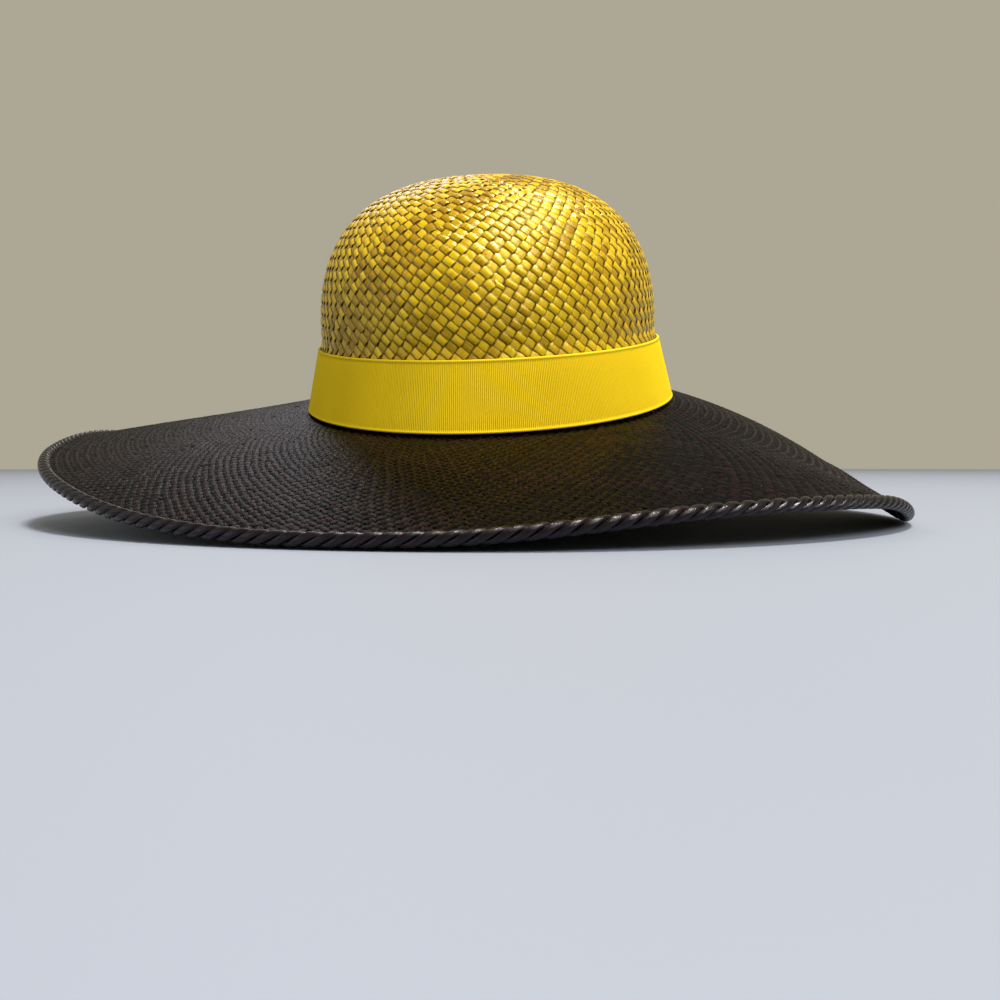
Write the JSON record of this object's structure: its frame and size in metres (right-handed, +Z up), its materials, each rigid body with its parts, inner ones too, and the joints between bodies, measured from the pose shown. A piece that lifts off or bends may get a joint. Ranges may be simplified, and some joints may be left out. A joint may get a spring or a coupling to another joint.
{
  "type": "floppy hat",
  "caption": "Wide-brimmed woven straw sun hat: domed crown with a ribbon round it, and a wavy brim that droops at the back and ends in a plaited edge.",
  "frame": {"origin": "on the table, under the middle of the hat's box", "axes": "+Z up, -Y towards the wearer's face, +X to the right seen from the front"},
  "size_m": [0.371, 0.3832, 0.1564],
  "materials": {
    "crown_straw": "flat strips of lacquered straw in a plain weave, golden yellow, glossy",
    "ribbon": "yellow grosgrain ribbon with fine upright ribs and a corded upper edge",
    "brim_straw": "fine lacquered straw in a plain weave, black-brown, with a soft sheen",
    "edge_straw": "the same black-brown straw, plaited into a rope-like rim"
  },
  "bodies": {
    "root": {"crown": "crown_straw", "hat_band": "ribbon", "brim": "brim_straw", "edge_braid": "edge_straw"}
  },
  "joints": []
}
